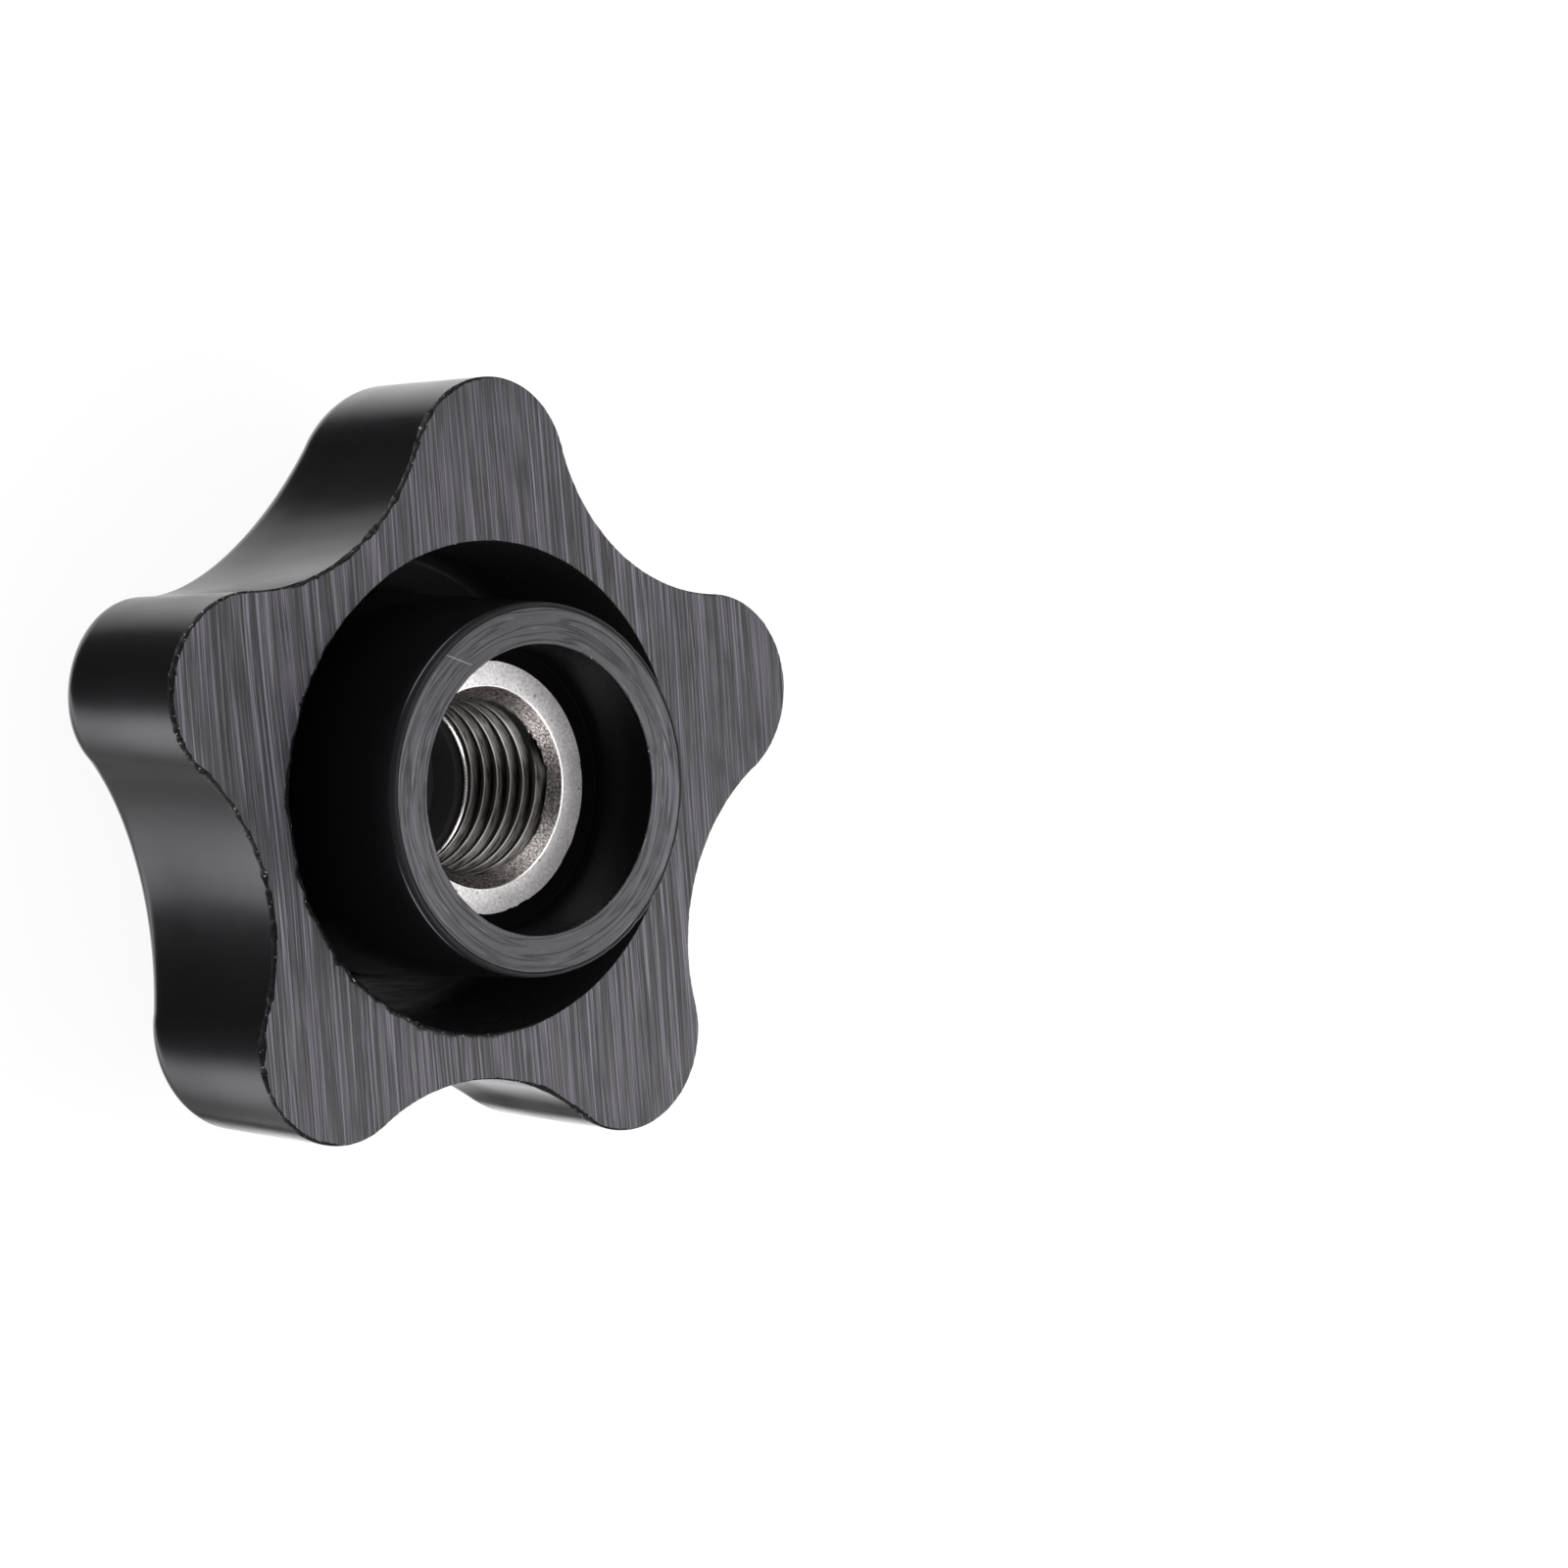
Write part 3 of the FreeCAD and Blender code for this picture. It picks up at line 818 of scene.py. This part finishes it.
def turned_black(finish):
    """Turned end of the collar: crisp rings, some deeper, with torn arcs and one thin scratch."""
    g = Graph("phenolic_turned")
    at = g.place()

    def rings(across, turning, detail=1, rough=0.5):
        return g.noise(g.around(at, across, turning), 1.0, detail, rough)

    broad = rings(4400, 1.4)
    fine = rings(8200, 2.2, 2, 0.6)
    wide = rings(2300, 1.2)
    arcs = rings(7000, 6)
    torn = g.noise(at, 700, 2)
    groove = g.near(wide, 0.5, 0.014, 0.055)
    groove = g.times(groove, g.span(torn, 0.3, 0.7, 0.4, 1.0))
    mix = g.math("ADD", g.times(broad, 0.55), g.times(fine, 0.45))
    streak = g.span(mix, 0.38, 0.62)
    tone = g.blend(streak, shade(finish.turned, 0.1), shade(finish.turned, 2.1))
    tone = g.blend(g.times(g.span(arcs, 0.62, 0.74), 0.6), tone, (0.26, 0.255, 0.27))
    tone = g.blend(g.times(groove, 0.85), tone, (0.016, 0.016, 0.018))
    # painted shade: the top and bottom of the ring are painted darker than its left and right sides, where
    # the turned rings catch less light
    side = g.math("ABSOLUTE", g.outward(at)["Y"])
    tone = g.blend(g.span(side, 0.3, 0.95, 0.0, 0.66), tone, (0.02, 0.02, 0.023))
    # painted shade: a band along the outer edge of the ring is painted near black and loses its gloss
    rim = g.span(g.radius(at), RING_EDGE, RING_EDGE + 0.03 * MM)
    tone = g.blend(rim, tone, (0.012, 0.012, 0.013))
    gloss = g.span(g.math("MAXIMUM", rim, g.times(groove, 0.5)), 0.0, 1.0, 0.5, 0.06)
    line = g.parts(g.stretch(at, (1, 1, 1), SCRATCH_TURN))
    thin = g.near(line["Y"], SCRATCH_OFF, 0.01 * MM, 0.045 * MM)
    ends = g.near(line["X"], SCRATCH_MID, 0.8 * MM, 1.1 * MM)
    tone = g.blend(g.times(g.times(thin, ends), 0.8), tone, (0.34, 0.33, 0.34))
    rough = g.span(mix, 0.3, 0.7, 0.34, 0.5)
    height = g.math("SUBTRACT", g.times(mix, 0.6), groove)
    normal = g.bump(height, 0.8, 0.03 * MM)
    tangent = g.node("Tangent", direction_type="RADIAL", axis="Z").outputs[0]
    return g.surface(
        Base_Color=tone,
        Roughness=rough,
        IOR=1.5,
        Specular_IOR_Level=gloss,
        Anisotropic=0.6,
        Tangent=tangent,
        Normal=normal,
    )


def broken_black(finish):
    """Chipped edge: glassy black breaks with a few white specks painted as glints."""
    g = Graph("phenolic_broken")
    at = g.place()
    grain = g.noise(at, 5200, 3, 0.6)
    # painted highlight: sparse white specks stand in for glints on the breaks
    painted_glints = g.span(g.noise(at, 4300, 1), 0.7, 0.75)
    tone = g.blend(g.span(grain, 0.6, 0.8, 0.0, 0.5), (0.007, 0.007, 0.008), (0.05, 0.05, 0.055))
    tone = g.blend(painted_glints, tone, (0.42, 0.41, 0.42))
    rough = g.span(grain, 0.3, 0.7, 0.22, 0.45)
    return g.surface(Base_Color=tone, Roughness=rough, IOR=1.5, Normal=g.bump(grain, 0.8, 0.04 * MM))


def sunk_black(finish):
    """Black of the recess and the bore: little gloss, a painted patch of light low down towards -Y, painted
    light in the hole under the bush, and dust.
    """
    g = Graph("phenolic_sunk")
    at = g.place()
    clouds = g.noise(at, 300, 3)
    dust = g.span(g.noise(at, 3300, 1), 0.8, 0.84)
    parts = g.parts(at)
    low = g.span(parts["Z"], 8.5 * MM, 7.2 * MM)
    # painted light: a pale patch with streaks in it is painted on the recess floor low down towards -Y
    painted_light_patch = g.times(g.span(parts["Y"], -11.8 * MM, -12.2 * MM), g.span(parts["X"], 6.0 * MM, 0.0))
    painted_light_patch = g.times(painted_light_patch, low)
    radius = g.radius(at)
    # painted light: the hole under the bush is painted pale grey
    hole = g.times(low, g.span(radius, 5.6 * MM, 5.8 * MM, 1.0, 0.0))
    bore = g.span(radius, 9.2 * MM, 9.0 * MM)
    tone = g.blend(bore, (0.030, 0.030, 0.032), (0.006, 0.006, 0.0066))
    tone = g.blend(hole, tone, (0.18, 0.18, 0.185))
    painted_light_streaks = g.span(g.noise(g.stretch(at, (350, 4200, 1)), 1.0, 2), 0.35, 0.65, 0.45, 1.0)
    tone = g.blend(g.times(painted_light_patch, painted_light_streaks), tone, (0.16, 0.16, 0.166))
    tone = g.blend(dust, tone, (0.09, 0.09, 0.092))
    gloss = g.math("SUBTRACT", g.math("SUBTRACT", 0.14, g.times(low, 0.08)), g.times(bore, 0.1))
    rough = g.span(clouds, 0.3, 0.7, 0.2, 0.3)
    normal = g.bump(clouds, 0.2, 0.05 * MM)
    return g.surface(Base_Color=tone, Roughness=rough, IOR=1.4, Specular_IOR_Level=gloss, Normal=normal)


def face_steel(finish):
    """Face of the bush: matt, finely speckled, with a few small pits."""
    g = Graph("bush_face")
    at = g.place()
    speckle = g.noise(at, 5200, 3, 0.6)
    blotch = g.noise(at, 700, 3)
    pits = g.span(g.noise(at, 2600, 1), 0.73, 0.77)
    steel = tuple(finish.steel)
    tone = g.blend(g.span(blotch, 0.35, 0.65), shade(steel, 0.9), shade(steel, 1.06))
    tone = g.blend(g.span(speckle, 0.38, 0.62, 0.0, 0.6), tone, shade(steel, 0.6))
    tone = g.blend(pits, tone, (0.08, 0.08, 0.08))
    rough = g.span(speckle, 0.3, 0.7, 0.5, 0.62)
    normal = g.bump(speckle, 0.35, 0.02 * MM)
    return g.surface(Base_Color=tone, Metallic=0.85, Roughness=rough, Normal=normal)


def cut_steel(finish):
    """Cut thread: fine lines that run with the cut, darker towards the roots, and a painted highlight on the
    crests.
    """
    g = Graph("bush_thread")
    at = g.place()
    lines = g.noise(g.around(at, 6000, 4, 4600), 1.0, 3, 0.6)
    blotch = g.noise(at, 900, 3)
    radius = g.radius(at)
    root = g.span(radius, 5.5 * MM, 5.8 * MM)
    crest = g.span(radius, 5.36 * MM, 5.42 * MM, 1.0, 0.0)
    thread = tuple(finish.thread)
    tone = g.blend(g.span(lines, 0.35, 0.65), shade(thread, 0.2), shade(thread, 1.8))
    tone = g.blend(g.times(root, 0.4), tone, (0.045, 0.040, 0.036))
    # painted highlight: the crests of the thread are painted much lighter
    tone = g.blend(g.times(crest, 0.3), tone, (0.78, 0.76, 0.74))
    rough = g.span(g.math("ADD", g.times(lines, 0.5), g.times(blotch, 0.5)), 0.35, 0.65, 0.28, 0.42)
    normal = g.bump(lines, 0.7, 0.02 * MM)
    return g.surface(Base_Color=tone, Metallic=1.0, Roughness=rough, Normal=normal)


def cone_steel(finish):
    """Countersink: coarse grain, light and dark."""
    g = Graph("bush_countersink")
    at = g.place()
    grain = g.noise(at, 6500, 3, 0.7)
    lines = g.noise(g.around(at, 3000, 12, 3000), 1.0, 3, 0.6)
    cone = tuple(finish.cone)
    tone = g.blend(g.span(grain, 0.35, 0.65), shade(cone, 0.2), shade(cone, 1.5))
    rough = g.span(lines, 0.3, 0.7, 0.22, 0.36)
    normal = g.bump(grain, 0.8, 0.035 * MM)
    return g.surface(Base_Color=tone, Metallic=1.0, Roughness=rough, Normal=normal)


def edge_steel(finish):
    """Burnished edges of the bush: bright, and glossier than its face."""
    g = Graph("bush_edge")
    grain = g.noise(g.place(), 2600, 2)
    rough = g.span(grain, 0.3, 0.7, 0.22, 0.32)
    return g.surface(Base_Color=(*finish.steel, 1), Metallic=1.0, Roughness=rough)


# Studio


def white_to_the_eye(g, plain, strength):
    """Mixes a shader with plain white light, for what the camera, a mirror or glass looks at."""
    path = g.node("LightPath").outputs
    mirrored = g.math("MAXIMUM", path["Is Glossy Ray"], path["Is Transmission Ray"])
    seen = g.math("MAXIMUM", path["Is Camera Ray"], mirrored)
    white = g.node("Emission", {"Color": (1, 1, 1, 1), "Strength": 1.06}).outputs[0]
    mix = g.node("MixShader", {0: g.times(seen, strength), 1: plain, 2: white})
    return mix.outputs[0]


# Light that glossy surfaces see below the horizon, by degrees round from +X.
BELOW = [
    (0, 1.45), (9, 1.35), (25, 1.1), (50, 1.35), (62, 1.3), (78, 1.05), (90, 0.7), (97, 0.38), (104, 0.12),
    (120, 0.09), (134, 0.08), (150, 0.07), (166, 0.09), (182, 0.14), (192, 0.19), (199, 0.3), (207, 0.7),
    (217, 1.7), (230, 2.15), (240, 1.9), (250, 1.55), (260, 1.05), (270, 0.6), (284, 0.45), (294, 0.65),
    (301, 0.15), (309, 0.03), (318, 0.9), (330, 1.4), (342, 1.7), (360, 1.3),
]


def studio_world(stage):
    """Plain room light, white to the eye. Glossy rays see dark overhead, and changing light below."""
    world = bpy.data.worlds.new("Studio")
    world.use_nodes = True
    g = Graph(tree=world.node_tree)
    path = g.node("LightPath").outputs
    way = g.parts(g.node("TexCoord").outputs["Generated"])
    mirrored = g.math("MAXIMUM", path["Is Glossy Ray"], path["Is Transmission Ray"])
    turn = g.math("DIVIDE", g.math("ARCTAN2", way["Y"], way["X"]), TURN)
    turn = g.math("ADD", turn, g.math("LESS_THAN", turn, 0.0))
    band = g.ramp(turn, [(degrees / 360, 0.5 * light) for degrees, light in BELOW])
    low = g.times(band, 2.0 * stage.sweep)
    below = g.span(way["Z"], -0.42, -0.1, low, stage.ceiling)
    strength = g.node("Mix", {"Factor": mirrored, 2: stage.room, 3: below}).outputs[0]
    strength = g.node("Mix", {"Factor": path["Is Camera Ray"], 2: strength, 3: 1.0}).outputs[0]
    light = g.node("Background", {"Color": (1, 1, 1, 1), "Strength": strength}).outputs[0]
    g.tree.links.new(light, g.output.inputs["Surface"])
    return world


def contact_shade():
    """Darkens what glossy sides see of the floor close round the star, towards -X."""
    g = Graph("contact_shade")
    parts = g.parts(g.place())
    reach = g.node("VectorMath", {0: g.place()}, operation="LENGTH").outputs["Value"]
    turn = g.math("ARCTAN2", parts["Y"], parts["X"])
    lobes = g.math("COSINE", g.times(g.math("SUBTRACT", turn, FIRST_LOBE), LOBES))
    mean_reach, swing = 21.4 * MM, 3.6 * MM
    outline = g.math("ADD", g.times(lobes, swing), mean_reach)
    near = g.span(g.math("SUBTRACT", reach, outline), 4 * MM, 10 * MM, 0.35, 0.0)
    side = g.near(g.math("ABSOLUTE", turn), math.radians(160), math.radians(45), math.radians(65))
    near = g.times(near, side)
    clear = g.node("BsdfTransparent").outputs[0]
    dark = g.node("Emission", {"Color": (1, 1, 1, 1), "Strength": 0.03}).outputs[0]
    mix = g.node("MixShader", {0: near, 1: clear, 2: dark})
    g.tree.links.new(mix.outputs[0], g.output.inputs["Surface"])
    g.material.cycles.emission_sampling = "NONE"
    return g.material


def floor_white(stage):
    g = Graph("floor_white")
    at = g.place()
    tone = g.blend(g.noise(at, 6, 2), shade(stage.floor, 0.97), tuple(stage.floor))
    plain = g.node("BsdfDiffuse", {"Color": tone}).outputs[0]
    g.tree.links.new(white_to_the_eye(g, plain, 0.88), g.output.inputs["Surface"])
    return g.material


def card_material(name, strength):
    """Light card with soft edges, made for the unit square of the card's own mesh."""
    g = Graph(name)
    parts = g.parts(g.place())
    fade = g.times(g.near(parts["X"], 0.0, 0.5, 1.0), g.near(parts["Y"], 0.0, 0.5, 1.0))
    clear = g.node("BsdfTransparent").outputs[0]
    glow = g.node("Emission", {"Color": (1, 1, 1, 1), "Strength": strength}).outputs[0]
    mix = g.node("MixShader", {0: fade, 1: clear, 2: glow})
    g.tree.links.new(mix.outputs[0], g.output.inputs["Surface"])
    g.material.cycles.emission_sampling = "NONE"
    return g.material


def add_square(name, half, material):
    """A flat square round the axis."""
    mesh = bpy.data.meshes.new(name)
    corners = [(-half, -half, 0), (half, -half, 0), (half, half, 0), (-half, half, 0)]
    mesh.from_pydata(corners, [], [(0, 1, 2, 3)])
    mesh.materials.append(material)
    square = bpy.data.objects.new(name, mesh)
    bpy.context.scene.collection.objects.link(square)
    return square


def mirrored_only(name, half, material):
    """A flat square that only glossy surfaces see."""
    card = add_square(name, half, material)
    for sight in ("camera", "diffuse", "shadow", "transmission", "volume_scatter"):
        setattr(card, "visible_" + sight, False)
    return card


def add_card(name, azimuth, elevation, distance, width, height, strength):
    """A light card at a direction from the middle of the knob, facing it."""
    card = mirrored_only(name, 1.0, card_material(name, strength))
    card.scale = (width / 2, height / 2, 1)
    place_facing(card, azimuth, elevation, distance)


def place_facing(thing, azimuth, elevation, distance):
    """Puts a lamp or card at a direction from the middle of the knob, with its front to the knob."""
    a, e = math.radians(azimuth), math.radians(elevation)
    way = Vector((math.cos(e) * math.cos(a), math.cos(e) * math.sin(a), math.sin(e)))
    middle = Vector((0, 0, 0.011))
    thing.rotation_euler = way.to_track_quat("Z", "Y").to_euler()
    thing.location = middle + way * distance


def add_softbox(name, azimuth, elevation, distance, width, height, power):
    lamp = bpy.data.lights.new(name, "AREA")
    lamp.shape = "RECTANGLE"
    lamp.size = width
    lamp.size_y = height
    lamp.energy = power
    thing = bpy.data.objects.new(name, lamp)
    bpy.context.scene.collection.objects.link(thing)
    thing.visible_camera = False
    place_facing(thing, azimuth, elevation, distance)


def make_stage(context):
    scene = context.scene
    stage = scene.star_knob_stage
    scene.view_settings.view_transform = "Standard"

    camera_data = bpy.data.cameras.new("Camera")
    camera_data.sensor_fit = "HORIZONTAL"
    camera_data.sensor_width = 36
    camera_data.lens = stage.lens
    camera_data.clip_start = 0.01
    camera_data.clip_end = 20
    camera = bpy.data.objects.new("Camera", camera_data)
    right = (0.74858957, 0.00869815, 0.66297662)
    up = (0.01162060, 0.99958824, -0.02623567)
    back = (-0.66293184, 0.02734393, 0.74818025)
    place = (-0.285111, 0.012696, 0.365774)
    camera.matrix_world = Matrix([
        (right[k], up[k], back[k], place[k]) for k in range(3)
    ] + [(0, 0, 0, 1)])
    scene.collection.objects.link(camera)
    scene.camera = camera

    floor = add_square("floor", 2.0, floor_white(stage))
    floor.location.z = -0.05 * MM
    floor.visible_glossy = False
    scene.world = studio_world(stage)

    add_softbox("softbox_key", 0, 48, 0.8, 0.8, 0.8, stage.key)
    add_softbox("softbox_upper", 95, 45, 0.7, 0.5, 0.5, stage.fill)
    add_softbox("softbox_lower", -95, 45, 0.7, 0.5, 0.5, stage.fill)
    add_softbox("softbox_near", -20, 25, 0.16, 0.12, 0.2, stage.near)
    add_card("card_upper", 105, 48, 0.7, 0.55, 0.55, stage.cards)
    add_card("card_lower", -105, 48, 0.7, 0.55, 0.55, 1.3 * stage.cards)
    add_card("card_top", 180, 86, 0.7, 0.4, 0.5, 0.8 * stage.cards)
    shade_below = mirrored_only("contact_shade", 0.06, contact_shade())
    shade_below.location.z = -0.02 * MM


# Operators, panel and registration


class STARKNOB_OT_body(bpy.types.Operator):
    """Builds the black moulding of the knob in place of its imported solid"""

    bl_idname = "star_knob.body"
    bl_label = "Knob body"

    def execute(self, context):
        make_knob_body(context)
        return {"FINISHED"}


class STARKNOB_OT_bush(bpy.types.Operator):
    """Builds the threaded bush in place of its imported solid"""

    bl_idname = "star_knob.bush"
    bl_label = "Threaded bush"

    def execute(self, context):
        make_threaded_bush(context)
        return {"FINISHED"}


class STARKNOB_OT_stage(bpy.types.Operator):
    """Builds the camera, the floor and the light"""

    bl_idname = "star_knob.stage"
    bl_label = "Stage"

    def execute(self, context):
        make_stage(context)
        return {"FINISHED"}


class STARKNOB_PT_panel(bpy.types.Panel):
    bl_label = "Star knob"
    bl_idname = "STARKNOB_PT_panel"
    bl_space_type = "VIEW_3D"
    bl_region_type = "UI"
    bl_category = "Star knob"

    def draw(self, context):
        for operator in OPERATORS:
            self.layout.operator(operator.bl_idname)
        for key, group in GROUPS.items():
            box = self.layout.box()
            for field in group.__annotations__:
                box.prop(getattr(context.scene, key), field)


OPERATORS = (STARKNOB_OT_body, STARKNOB_OT_bush, STARKNOB_OT_stage)


def register():
    for cls in (*GROUPS.values(), *OPERATORS, STARKNOB_PT_panel):
        bpy.utils.register_class(cls)
    for key, group in GROUPS.items():
        setattr(bpy.types.Scene, key, PointerProperty(type=group))


def unregister():
    for key in GROUPS:
        delattr(bpy.types.Scene, key)
    for cls in reversed((*GROUPS.values(), *OPERATORS, STARKNOB_PT_panel)):
        bpy.utils.unregister_class(cls)


def main():
    register()
    bpy.ops.star_knob.body()
    bpy.ops.star_knob.bush()
    bpy.ops.star_knob.stage()


if __name__ == "__main__":
    main()
